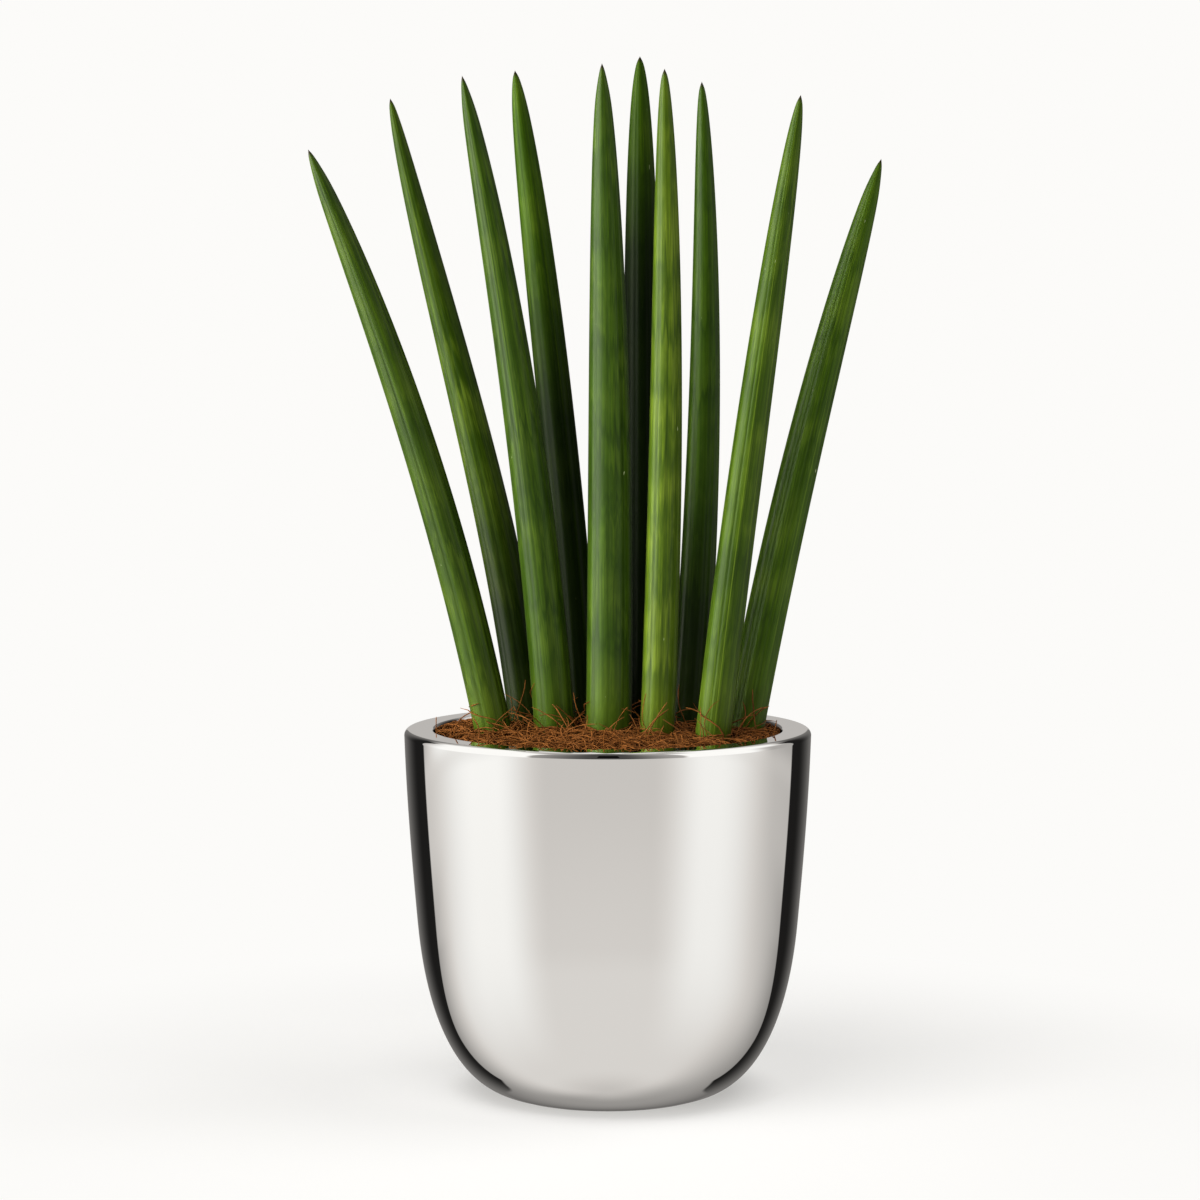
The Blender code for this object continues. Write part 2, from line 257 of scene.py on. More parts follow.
def blend_value(tree, factor, a, b):
    node = tree.nodes.new("ShaderNodeMix")
    feed(tree, node.inputs[0], factor)
    feed(tree, node.inputs[2], a)
    feed(tree, node.inputs[3], b)
    return node.outputs[0]


def mix_node(tree, factor, a, b):
    node = tree.nodes.new("ShaderNodeMix")
    node.data_type = "RGBA"
    feed(tree, node.inputs[0], factor)
    feed(tree, node.inputs[6], (*a, 1) if isinstance(a, tuple) else a)
    feed(tree, node.inputs[7], (*b, 1) if isinstance(b, tuple) else b)
    return node.outputs[2]


def noise_node(tree, vector, scale, stretch=(1, 1, 1), shift=(0, 0, 0), detail=2.0, rough=0.5):
    """Noise on a vector in metres: scale is features in a metre, and stretch multiplies it for each axis."""
    no_turn, no_time = (0, 0, 0), 0
    placed = node_with(tree, "ShaderNodeMapping", vector, shift, no_turn, stretch)[0]
    return node_with(tree, "ShaderNodeTexNoise", placed, no_time, scale, detail, rough)["Fac"]


def attribute_node(tree, name, output):
    return node_with(tree, "ShaderNodeAttribute", attribute_name=name)[output]


def object_coordinates(tree):
    return node_with(tree, "ShaderNodeTexCoord")["Object"]


def bump_into(tree, shader, height, distance, strength=1.0):
    bump = tree.nodes.new("ShaderNodeBump")
    bump.inputs["Distance"].default_value = distance
    bump.inputs["Strength"].default_value = strength
    tree.links.new(height, bump.inputs["Height"])
    tree.links.new(bump.outputs["Normal"], shader.inputs["Normal"])


def new_group(name, inputs, outputs):
    """An empty shader group whose sockets are given as (name, type, default)."""
    group = bpy.data.node_groups.new(name, "ShaderNodeTree")
    for label, kind, default in inputs:
        socket = group.interface.new_socket(label, in_out="INPUT", socket_type=kind)
        if default is not None:
            socket.default_value = default
    for label, kind in outputs:
        group.interface.new_socket(label, in_out="OUTPUT", socket_type=kind)
    return group, group.nodes.new("NodeGroupInput").outputs, group.nodes.new("NodeGroupOutput").inputs


def place_group(tree, group, values):
    node = tree.nodes.new("ShaderNodeGroup")
    node.node_tree = group
    for label, value in values.items():
        feed(tree, node.inputs[label], value)
    return node.outputs


# The pot


SMEARS, SMEAR_STRETCH = 9, (1, 1, 0.35)  # smears in a metre, and drawn out up the pot


def pot_outline(settings):
    """The pot's section, from the middle of its inner floor over the lip to the middle of its foot."""
    mouth = POT_RADIUS - settings.lip_width
    inner, outer = settings.inner_round, settings.outer_round
    wall = BELLY_RADIUS - WALL_AT_BELLY
    inside = swept(
        (FLOOR_RADIUS, FLOOR_THICKNESS),
        (FLOOR_RADIUS + FLOOR_SPREAD, FLOOR_THICKNESS),
        (wall - INNER_DRAFT * INNER_DROP, BELLY_HEIGHT - INNER_DROP),
        (wall, BELLY_HEIGHT),
    )
    lip = arc((mouth + inner, LIP_HEIGHT - inner), inner, 180, 90)
    lip += [(mouth + inner + KEPT_FLAT, LIP_HEIGHT), (POT_RADIUS - outer - KEPT_FLAT, LIP_HEIGHT)]
    lip += arc((POT_RADIUS - outer, LIP_HEIGHT - outer), outer, 90, 0)
    lip.append((POT_RADIUS - LIP_LEAN * KEPT_FLAT, LIP_HEIGHT - outer - KEPT_FLAT))
    shoulder, belly = (POT_RADIUS, LIP_HEIGHT - outer), (BELLY_RADIUS, BELLY_HEIGHT)
    rise = (shoulder[1] - BELLY_HEIGHT) / 3
    upper = swept(
        shoulder,
        (POT_RADIUS - LIP_LEAN * rise, shoulder[1] - rise),
        (BELLY_RADIUS + BELLY_LEAN * rise, BELLY_HEIGHT + rise),
        belly,
    )
    foot = (FOOT_RADIUS + FOOT_EDGE, FOOT_EDGE / 2)
    bowl = swept(
        belly,
        (BELLY_RADIUS - BELLY_LEAN * BOWL_DROP, BELLY_HEIGHT - BOWL_DROP),
        (foot[0] + FOOT_SPREAD * math.cos(FOOT_SLOPE), foot[1] + FOOT_SPREAD * math.sin(FOOT_SLOPE)),
        foot,
    )
    underside = [(FOOT_RADIUS, 0), (FOOT_RADIUS - KEPT_FLAT, 0), (0, 0)]
    return [(0, FLOOR_THICKNESS)] + inside + lip + upper[1:] + bowl[1:] + underside


def plating(settings):
    """Mirror-bright silver plating, with the faintest smears."""
    material, tree, shader = new_material("Silver plating", settings.roughness, 1.0)
    smears = noise_node(tree, object_coordinates(tree), SMEARS, stretch=SMEAR_STRETCH, detail=3)
    shader.inputs["Base Color"].default_value = (*settings.silver, 1)
    spread = math_node(tree, "MULTIPLY_ADD", smears, settings.roughness, settings.roughness / 2)
    tree.links.new(spread, shader.inputs["Roughness"])
    return material


class PLANT_OT_pot(bpy.types.Operator):
    """Turns the round-bottomed pot with its flat-topped lip"""

    bl_idname = "plant.pot"
    bl_label = "Pot"

    def execute(self, context):
        settings = context.scene.plant_pot
        shape = turned(pot_outline(settings), settings.sides)
        piece("silver_pot", shape, [plating(settings)], "pot")
        return {"FINISHED"}


# The leaves


class Stem:
    """A leaf's middle line and thickness, measured on its solid."""

    def __init__(self, node):
        shape = bmesh.new()
        shape.from_mesh(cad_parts[node].data)
        bmesh.ops.remove_doubles(shape, verts=shape.verts, dist=MERGE)
        tip = max((v.co.copy() for v in shape.verts), key=lambda co: co.z)
        self.pinch = LOOKS[node].pinch
        self.low = min(v.co.z for v in shape.verts)
        self.high = tip.z
        heights = [self.at(rise) for rise in SLICES]
        cuts = [self.slice(shape, height) for height in heights]
        shape.free()
        centres = [centre for centre, _ in cuts] + [tip]
        self.lines = [
            numpy.polyfit([c.z for c in centres], [c[axis] for c in centres], 3) for axis in (0, 1)
        ]
        self.full = self.section_radius(cuts[0][1], heights[0])
        share = self.section_radius(cuts[TAPER_SLICE][1], heights[TAPER_SLICE]) / self.full
        self.fullness = math.log(1 - share ** (1 / TAPER_ROOT)) / math.log(SLICES[TAPER_SLICE])

    def at(self, rise):
        """The height of a share of the leaf's length above the coir."""
        return PLANTING_LEVEL + (self.high - PLANTING_LEVEL) * rise

    def slice(self, shape, height):
        """The middle and the area of the level cut at a height."""
        everything = shape.verts[:] + shape.edges[:] + shape.faces[:]
        cut = bmesh.ops.bisect_plane(
            shape, geom=everything, plane_co=(0, 0, height), plane_no=(0, 0, 1), dist=MERGE / 10
        )["geom_cut"]
        points = [e.co for e in cut if isinstance(e, bmesh.types.BMVert)]
        middle = sum(points, Vector()) / len(points)
        area, moment = 0, Vector()
        for edge in (e for e in cut if isinstance(e, bmesh.types.BMEdge)):
            a, b = (v.co - middle for v in edge.verts)
            part = abs(a.x * b.y - a.y * b.x) / 2
            area += part
            moment += part * (a + b) / 3
        return middle + moment / area, area

    def centre(self, height):
        return Vector((*(numpy.polyval(line, height) for line in self.lines), height))

    def heading(self, height):
        slopes = (numpy.polyval(numpy.polyder(line), height) for line in self.lines)
        return Vector((*slopes, 1)).normalized()

    def section_radius(self, area, height):
        return math.sqrt(area * self.heading(height).z / SECTION_AREA)

    def radius(self, height):
        """Full at the coir, rounding in ever faster to the point, and round at its foot in the soil."""
        if height >= PLANTING_LEVEL:
            rise = min(1, (height - PLANTING_LEVEL) / (self.high - PLANTING_LEVEL))
            left = self.high - height
            sharp = 1 - math.exp(-left / SPINE_LENGTH)
            slim = 1 - self.pinch * math.exp(-((left / PINCH_LENGTH) ** 2))
            return self.full * sharp * slim * (1 - rise**self.fullness) ** TAPER_ROOT
        depth = (PLANTING_LEVEL - height) / (PLANTING_LEVEL - self.low)
        return self.full * math.sqrt(max(0, 1 - depth**PLANTED_SQUARENESS))


STEMS = {node: Stem(node) for node in LEAVES}
RING_PARTS = 12  # points from one groove to the next
PLANTED_ROWS = (0.997, 0.985, 0.95, 0.9, 0.8, 0.6, 0.3)  # depths, as shares of the planted part
TIP_CROWDING = 1.5
GROOVE_WANDER = 0.16  # how far a groove strays from its even place, as a share of the space between two
GROOVE_DEPTHS = (0.55, 1.25)  # shares of the set depth
GROOVE_CROWDING = 0.72  # how much the ring's points gather at the grooves
GRAIN_RADIUS = 0.010  # of the straight, even cylinder that the skin's pattern is drawn on


def leaf_heights(stem, rows):
    planted = [PLANTING_LEVEL - (PLANTING_LEVEL - stem.low) * depth for depth in PLANTED_ROWS]
    shown = [stem.at(1 - (1 - i / rows) ** TIP_CROWDING) for i in range(rows)]
    return planted + shown


def station(stem, height):
    """The place of a leaf's section, from a ring of radius 1 at the origin."""
    turn = Vector((0, 0, 1)).rotation_difference(stem.heading(height)).to_matrix().to_4x4()
    return Matrix.Translation(stem.centre(height)) @ turn @ Matrix.Scale(stem.radius(height), 4)


def grooved_ring(shape, settings, chance):
    """A ring of radius 1 with a narrow groove between each two ribs, its points crowded at the grooves."""
    grain = shape.verts.layers.float_vector.new("grain")
    groove = shape.verts.layers.float.new("groove")
    count = settings.grooves * RING_PARTS
    ring = bmesh.ops.create_circle(shape, cap_ends=True, segments=count, radius=1)["verts"]
    turn = chance.uniform(0, math.tau)
    starts = [k + chance.uniform(-GROOVE_WANDER, GROOVE_WANDER) for k in range(settings.grooves)]
    starts.append(starts[0] + settings.grooves)
    depths = [settings.groove_depth * chance.uniform(*GROOVE_DEPTHS) for _ in range(settings.grooves)]
    depths.append(depths[0])
    for i, vertex in enumerate(ring):
        k, part = divmod(i, RING_PARTS)
        share = part / RING_PARTS
        way = share - math.sin(math.tau * share) / math.tau * GROOVE_CROWDING
        angle = turn + (starts[k] + (starts[k + 1] - starts[k]) * way) * math.tau / settings.grooves
        near = min(way, 1 - way) / settings.groove_width
        dip = math.exp(-near * near)
        depth = depths[k] if way < 0.5 else depths[k + 1]
        radius = 1 - depth * dip
        vertex.co = (radius * math.cos(angle), radius * math.sin(angle), 0)
        vertex[grain] = (GRAIN_RADIUS * math.cos(angle), GRAIN_RADIUS * math.sin(angle), 0)
        vertex[groove] = dip
    return ring, grain


def leaf_mesh(stem, settings, chance):
    """A grooved ring drawn along the leaf, from its foot in the soil to a point."""
    shape = bmesh.new()
    ring, grain = grooved_ring(shape, settings, chance)
    heights = leaf_heights(stem, settings.rows)
    place = station(stem, heights[0])
    bmesh.ops.transform(shape, matrix=place, verts=ring)
    for vertex in ring:
        vertex[grain].z = heights[0] - PLANTING_LEVEL
    edges = shape.edges[:]
    for height in heights[1:]:
        grown = bmesh.ops.extrude_edge_only(shape, edges=edges)["geom"]
        ring = [e for e in grown if isinstance(e, bmesh.types.BMVert)]
        edges = [e for e in grown if isinstance(e, bmesh.types.BMEdge)]
        following = station(stem, height)
        bmesh.ops.transform(shape, matrix=following @ place.inverted(), verts=ring)
        place = following
        for vertex in ring:
            vertex[grain].z = height - PLANTING_LEVEL
    grown = bmesh.ops.extrude_edge_only(shape, edges=edges)["geom"]
    ring = [e for e in grown if isinstance(e, bmesh.types.BMVert)]
    for vertex in ring:
        vertex[grain].z = stem.high - PLANTING_LEVEL
    bmesh.ops.pointmerge(shape, verts=ring, merge_co=stem.centre(stem.high))
    bmesh.ops.recalc_face_normals(shape, faces=shape.faces)
    return shape


# The noises of the skin's pattern: how many features a metre holds across the grain, twice, and along it
STREAKS, FINE_LINES, CLOUDS = (420, 420, 9), (1500, 1500, 25), (70, 70, 38)
BANDS, PINSTRIPES, FLECKS = (22, 22, 75), (750, 750, 1.5), (600, 600, 170)
BAND_RAGGEDNESS = 0.05  # how far the streaks pull the bands' edges along the leaf
PATTERN_SHIFT = 9  # how far into the noises a leaf's own pattern may start
# Where each layer of the skin comes in, from none of it to all of it, and how strong it is
FRESH_REACH, FRESH_LEAST = (0.30, 0.67), 0.40
BLOTCH_REACH, CLOUD_SHARE = (0.44, 0.70), 0.45
SHADE_REACH, SHADE_STRENGTH = (0.52, 0.28), 0.55
PINSTRIPE_REACH = (0.62, 0.70)
LINE_REACH, LINE_STRENGTH = (0.56, 0.40), 0.45
# How dark the grooves are painted: painted shade in them
GROOVE_PAINTED_SHADE = 0.35
FOOT_REACH, FOOT_STRENGTH = (0.05, 0.0), 0.25  # above the coir
FLECK_REACH, FLECK_STRENGTH, FLECK_COLOUR = (0.80, 0.84), 0.8, (0.42, 0.48, 0.26)
# Painted shade low on a leaf: how soft its upper edge is, and its near-black colour
PAINTED_SHADE_SPREAD, PAINTED_SHADE_COLOUR = 0.18, (0.001, 0.003, 0.0003)
SPINE_REACH = (0.0040, 0.0010)  # below the tip
SKIN_ROUGHNESS, STREAK_ROUGHNESS = 0.30, 0.12
STREAK_RELIEF, SKIN_RELIEF, RELIEF_STRENGTH = 0.7, 0.00012, 0.4
WARMTH = {"Deep": 0.3, "Fresh": 0.5, "Pale": 0.3}  # how much of a leaf's yellowness each green takes


def skin_noises(group, grain, shift):
    """The noises that the skin's layers are cut from. The streaks feather the edges of the bands."""
    streaks = noise_node(group, grain, 1, STREAKS, shift, detail=4, rough=0.6)
    pull = math_node(group, "MULTIPLY", math_node(group, "SUBTRACT", streaks, 0.5), BAND_RAGGEDNESS)
    along = node_with(group, "ShaderNodeCombineXYZ", 0.0, 0.0, pull)[0]
    feathered = node_with(group, "ShaderNodeVectorMath", grain, along)[0]
    return {
        "streaks": streaks,
        "fine": noise_node(group, grain, 1, FINE_LINES, shift),
        "clouds": noise_node(group, grain, 1, CLOUDS, shift, detail=3, rough=0.55),
        "bands": noise_node(group, feathered, 1, BANDS, shift, rough=0.6),
        "stripes": noise_node(group, grain, 1, PINSTRIPES, shift, detail=1),
        "flecks": noise_node(group, grain, 1, FLECKS, shift, detail=1),
    }


def overlaid(group, colour, mask, strength, layer):
    """A colour with another laid over it where the mask is up."""
    return mix_node(group, math_node(group, "MULTIPLY", mask, strength), colour, layer)


def skin_colour(group, given, noises):
    """Layers of green, then the pale foot, the flecks, the painted shade on the lower part and the dry
    point.
    """
    deep, pale = given["Deep"], given["Pale"]
    fresh = step_node(group, noises["streaks"], *FRESH_REACH, below=FRESH_LEAST)
    colour = mix_node(group, fresh, deep, given["Fresh"])
    cloudy = blend_value(group, CLOUD_SHARE, noises["bands"], noises["clouds"])
    colour = overlaid(group, colour, step_node(group, cloudy, *BLOTCH_REACH), given["Blotches"], pale)
    colour = overlaid(group, colour, step_node(group, noises["bands"], *SHADE_REACH), SHADE_STRENGTH, deep)
    stripes = step_node(group, noises["stripes"], *PINSTRIPE_REACH)
    colour = overlaid(group, colour, stripes, given["Pinstripes"], pale)
    colour = overlaid(group, colour, step_node(group, noises["fine"], *LINE_REACH), LINE_STRENGTH, deep)
    # Painted shade in the grooves
    colour = overlaid(group, colour, given["Groove"], GROOVE_PAINTED_SHADE, deep)

    above = node_with(group, "ShaderNodeSeparateXYZ", given["Grain"])["Z"]
    colour = overlaid(group, colour, step_node(group, above, *FOOT_REACH), FOOT_STRENGTH, pale)
    flecks = step_node(group, noises["flecks"], *FLECK_REACH)
    colour = overlaid(group, colour, flecks, FLECK_STRENGTH, FLECK_COLOUR)
    # Painted shade: the lower part of the leaf is darkened, for the shade of the leaves in front
    share = math_node(group, "DIVIDE", above, given["Length"])
    past = math_node(group, "SUBTRACT", share, given["Dimming top"])
    painted_shade_mask = step_node(group, past, PAINTED_SHADE_SPREAD, -PAINTED_SHADE_SPREAD)
    colour = overlaid(group, colour, painted_shade_mask, given["Dimming"], PAINTED_SHADE_COLOUR)
    left = math_node(group, "SUBTRACT", given["Length"], above)
    return mix_node(group, step_node(group, left, *SPINE_REACH), colour, given["Spine"])


def leaf_skin_group():
    """The skin's colour, roughness and relief, drawn on the leaf's own straight grain."""
    group, given, out = new_group(
        "Leaf skin",
        [
            ("Grain", "NodeSocketVector", None),
            ("Shift", "NodeSocketVector", None),
            ("Groove", "NodeSocketFloat", 0.0),
            ("Length", "NodeSocketFloat", 0.3),
            ("Deep", "NodeSocketColor", None),
            ("Fresh", "NodeSocketColor", None),
            ("Pale", "NodeSocketColor", None),
            ("Spine", "NodeSocketColor", None),
            ("Blotches", "NodeSocketFloat", 0.5),
            ("Pinstripes", "NodeSocketFloat", 0.5),
            # The painted shade on a leaf's lower part: how strong, and the share of the length where it
            # fades out
            ("Dimming", "NodeSocketFloat", 0.0),
            ("Dimming top", "NodeSocketFloat", 0.5),
        ],
        [("Color", "NodeSocketColor"), ("Roughness", "NodeSocketFloat"), ("Height", "NodeSocketFloat")],
    )
    noises = skin_noises(group, given["Grain"], given["Shift"])
    group.links.new(skin_colour(group, given, noises), out["Color"])
    rough = math_node(group, "MULTIPLY_ADD", noises["streaks"], STREAK_ROUGHNESS, SKIN_ROUGHNESS)
    group.links.new(rough, out["Roughness"])
    group.links.new(blend_value(group, STREAK_RELIEF, noises["fine"], noises["streaks"]), out["Height"])
    return group


def leaf_skin(node, stem, settings, group, chance):
    look = LOOKS[node]
    material, tree, shader = new_material(f"Skin of {node}")
    values = {
        "Grain": attribute_node(tree, "grain", "Vector"),
        "Shift": [chance.uniform(-PATTERN_SHIFT, PATTERN_SHIFT) for _ in range(3)],
        "Groove": attribute_node(tree, "groove", "Fac"),
        "Length": stem.high - PLANTING_LEVEL,
        "Spine": (*settings.spine, 1),
        "Blotches": look.blotch,
        "Pinstripes": look.stripe,
        # The painted shade on the leaf's lower part
        "Dimming": look.dim,
        "Dimming top": look.dim_top,
    }
    for label, green in (("Deep", settings.deep), ("Fresh", settings.fresh), ("Pale", settings.pale)):
        red, mid, blue = (look.light * part for part in green)
        values[label] = (red * (1 + WARMTH[label] * look.warm), mid, blue, 1)
    made = place_group(tree, group, values)
    tree.links.new(made["Color"], shader.inputs["Base Color"])
    tree.links.new(made["Roughness"], shader.inputs["Roughness"])
    bump_into(tree, shader, made["Height"], SKIN_RELIEF, RELIEF_STRENGTH)
    shader.inputs["Specular IOR Level"].default_value = look.gloss
    return material


def leaf_piece(node):
    """The name of the piece that stands for a leaf's solid."""
    return node.replace("leaf_", "grooved_leaf_")


class PLANT_OT_leaves(bpy.types.Operator):
    """Draws out each grooved, pointed leaf with its own skin"""

    bl_idname = "plant.leaves"
    bl_label = "Leaves"

    def execute(self, context):
        settings = context.scene.plant_leaf
        group = leaf_skin_group()
        for number, node in enumerate(LEAVES, start=1):
            chance = random.Random(number)
            shape = leaf_mesh(STEMS[node], settings, chance)
            skin = leaf_skin(node, STEMS[node], settings, group, chance)
            piece(leaf_piece(node), shape, [skin], node)
        return {"FINISHED"}


# The soil and the coir


COIR_PIECES = ("coir_mat", "coir_fibres", "coir_strays")
COIR_EDGE = LIP_HEIGHT - 0.0060
COIR_MOUND = 0.0035
MOUTH = 0.08505  # the inner wall's radius at the coir
WALL_GAP = 0.0006  # between the mat and the pot
MAT_STEPS = 144
MAT_RINGS = 44
MAT_LUMPS = ((0.011, 0.0012), (0.0035, 0.0006))  # the width of the mat's lumps, and how high they rise
MAT_SINK = 0.0010  # how far the lumpy mat lies under its general height
MAT_PAINTED_SHADE = 0.25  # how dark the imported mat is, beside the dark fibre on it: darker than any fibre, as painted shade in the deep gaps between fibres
ROUTE_POINTS = 9
LEAF_ROOM = 1.03  # of a leaf's radius, kept free of fibre
CLEARANCE = 0.0002
FIBRE_END = 0.45  # how thin a fibre's ends are
COIR_COLOURS = ("dark", "red", "tan")
MOTTLES, MOTTLE_REACH, MOTTLE_SHADE = 260, (0.34, 0.62), 0.55  # in a metre of fibre, and how dark
FIBRE_ROUGHNESS, FIBRE_SHINE = 0.75, 0.2
FUZZ, FUZZ_RELIEF, FUZZ_STRENGTH = 1800, 0.0001, 0.5
CRUMBS, CRUMB_REACH, CRUMB_RELIEF = 420, (0.35, 0.7), 0.0012
SOIL_ROUGHNESS, DAMP_SOIL, DRY_SOIL = 0.95, (0.012, 0.007, 0.004), (0.07, 0.04, 0.022)
COIR_SEED = 5
# The fibres in the mat: how thick, as shares, how long, how high they arch, how far they bend at each point
# and lean to one end, how far from the wall their middles stay, how deep their ends lie, and their colours
FIBRE_SHARES = (0.6, 0.8, 1.0, 1.0, 1.3)
FIBRE_LENGTHS, FIBRE_RISES, FIBRE_BEND, FIBRE_LEAN = (0.012, 0.042), (0.001, 0.0070), 0.2, 0.6
FIBRE_MARGIN, FIBRE_DEPTH = 0.002, 0.0014
FIBRE_KINDS = (0, 0, 1, 1, 1, 1, 2)
# The loose fibres, which lean from upright, curl over and wander
STRAY_SHARES, STRAY_LENGTHS, STRAY_LEANS = (0.6, 1.1), (0.012, 0.034), (0.3, 2.4)
STRAY_MARGIN, STRAY_DEPTH = 0.006, 0.0012
STRAY_TURN, STRAY_DROOP, STRAY_WANDER = 0.30, (-0.7, 0.2), 0.1
STRAY_KINDS = (1, 2, 2)


def coir_top(x, y):
    """The mat's general height: a low mound."""
    share = math.hypot(x, y) / MOUTH
    return COIR_EDGE + COIR_MOUND * (1 - share**2)


def mat_mesh():
    """A disc of packed fibre, lumpy on top."""
    edge = MOUTH - WALL_GAP
    radii = [edge * i / MAT_RINGS for i in range(MAT_RINGS + 1)]
    shape = turned([(r, coir_top(r, 0)) for r in radii] + [(edge, COIR_LOW), (0, COIR_LOW)], MAT_STEPS)
    for vertex in shape.verts:
        if vertex.co.z > COIR_LOW + MM:
            lumps = sum(noise.noise(vertex.co / width) * rise for width, rise in MAT_LUMPS)
            vertex.co.z += lumps - MAT_SINK
    return shape


def kept_clear(point, radius):
    """The point, moved out of every leaf and in from the pot's wall."""
    for stem in STEMS.values():
        centre = stem.centre(point.z)
        away = point - centre
        away.z = 0
        room = stem.full * LEAF_ROOM + radius + CLEARANCE
        if away.length < room:
            outward = away.normalized() if away.length > MERGE else Vector((0, -1, 0))
            point = point + outward * (room - away.length)
    wall = MOUTH - radius - 2 * CLEARANCE
    flat = math.hypot(point.x, point.y)
    if flat > wall:
        point.x *= wall / flat
        point.y *= wall / flat
    return point


def place_in_mouth(chance, margin):
    """A place on the coir, as far from the wall as the margin says."""
    ring, around = (MOUTH - margin) * math.sqrt(chance.random()), chance.uniform(0, math.tau)
    return Vector((ring * math.cos(around), ring * math.sin(around), 0))


def fibre_route(chance, radius, length, rise):
    """A wandering arch over the mat, both ends sunk in it."""
    middle = place_in_mouth(chance, FIBRE_MARGIN)
    heading = chance.uniform(0, math.tau)
    lean, curl = chance.uniform(-FIBRE_LEAN, FIBRE_LEAN), chance.uniform(-FIBRE_BEND, FIBRE_BEND)
    place = middle - Vector((math.cos(heading), math.sin(heading), 0)) * length / 2
    route = []
    for i in range(ROUTE_POINTS):
        way = 2 * i / (ROUTE_POINTS - 1) - 1
        arch = (1 - way * way) * (1 + lean * way)
        lift = coir_top(place.x, place.y) - FIBRE_DEPTH + rise * arch
        route.append(kept_clear(Vector((place.x, place.y, lift)), radius))
        heading += curl + chance.uniform(-FIBRE_BEND, FIBRE_BEND) / 2
        place = place + Vector((math.cos(heading), math.sin(heading), 0)) * length / (ROUTE_POINTS - 1)
    return route


def stray_route(chance, radius, length, lean):
    """A loose fibre with one end in the mat and the other up in the air."""
    place = place_in_mouth(chance, STRAY_MARGIN)
    place.z = coir_top(place.x, place.y) - STRAY_DEPTH
    side = chance.uniform(0, math.tau)
    heading = Vector((math.cos(side) * lean, math.sin(side) * lean, 1)).normalized()
    turn = Vector((chance.uniform(-1, 1), chance.uniform(-1, 1), chance.uniform(*STRAY_DROOP))) * STRAY_TURN
    route = []
    for _ in range(ROUTE_POINTS):
        route.append(kept_clear(place.copy(), radius))
        wander = Vector([chance.uniform(-STRAY_WANDER, STRAY_WANDER) for _ in range(3)])
        heading = (heading + turn + wander).normalized()
        place = place + heading * length / (ROUTE_POINTS - 1)
        place.z = max(place.z, coir_top(place.x, place.y) - MM / 2)
    return route


def mat_fibres(settings, chance):
    """The routes of the fibres in the mat, each with its share of the thickness and its colour's number."""
    routes = []
    for _ in range(settings.fibres):
        share = chance.choice(FIBRE_SHARES)
        length, rise = chance.uniform(*FIBRE_LENGTHS), chance.uniform(*FIBRE_RISES)
        route = fibre_route(chance, settings.thickness * share, length, rise)
        routes.append((route, share, chance.choice(FIBRE_KINDS)))
    return routes


def loose_fibres(settings, chance):
    """The same for the fibres that stand out of the mat."""
    routes = []
    for _ in range(settings.strays):
        share = chance.uniform(*STRAY_SHARES)
        length, lean = chance.uniform(*STRAY_LENGTHS), chance.uniform(*STRAY_LEANS)
        route = stray_route(chance, settings.thickness * share, length, lean)
        routes.append((route, share, chance.choice(STRAY_KINDS)))
    return routes


def fibres_mesh(name, routes, thickness):
    """Thin round fibres along routes, each given as (points, share of the thickness, material number)."""
    curve = bpy.data.curves.new(name, "CURVE")
    curve.dimensions = "3D"
    curve.bevel_depth = thickness
    curve.bevel_resolution = 0
    curve.use_fill_caps = True
    curve.resolution_u = 1
    for points, share, number in routes:
        line = curve.splines.new("POLY")
        line.points.add(len(points) - 1)
        line.material_index = number
        for i, (point, place) in enumerate(zip(line.points, points)):
            point.co = (*place, 1)
            point.radius = share * (FIBRE_END if i in (0, len(points) - 1) else 1)
    for _ in COIR_COLOURS:
        curve.materials.append(None)
    guide = bpy.data.objects.new(name, curve)
    bpy.context.scene.collection.objects.link(guide)
    bpy.context.view_layer.update()
    mesh = bpy.data.meshes.new_from_object(guide.evaluated_get(bpy.context.evaluated_depsgraph_get()))
    shape = bmesh.new()
    shape.from_mesh(mesh)
    bpy.data.objects.remove(guide)
    bpy.data.meshes.remove(mesh)
    bmesh.ops.remove_doubles(shape, verts=shape.verts, dist=MERGE / 2)
    return shape


def fibre_material(name, colour):
    """Dry fibre: mottled along its length, a little rough."""
    material, tree, shader = new_material(name, FIBRE_ROUGHNESS)
    shader.inputs["Specular IOR Level"].default_value = FIBRE_SHINE
    place = object_coordinates(tree)
    darker = tuple(MOTTLE_SHADE * part for part in colour)
    mottle = step_node(tree, noise_node(tree, place, MOTTLES), *MOTTLE_REACH)
    tree.links.new(mix_node(tree, mottle, darker, tuple(colour)), shader.inputs["Base Color"])
    bump_into(tree, shader, noise_node(tree, place, FUZZ, detail=1), FUZZ_RELIEF, FUZZ_STRENGTH)
    return material


def coir_materials(settings):
    return [fibre_material(f"{name.capitalize()} coir", getattr(settings, name)) for name in COIR_COLOURS]


def soil_material():
    """Dark, crumbly potting mix."""
    material, tree, shader = new_material("Potting mix", SOIL_ROUGHNESS)
    crumbs = noise_node(tree, object_coordinates(tree), CRUMBS, detail=4, rough=0.65)
    tint = mix_node(tree, step_node(tree, crumbs, *CRUMB_REACH), DAMP_SOIL, DRY_SOIL)
    tree.links.new(tint, shader.inputs["Base Color"])
    bump_into(tree, shader, crumbs, CRUMB_RELIEF)
    return material


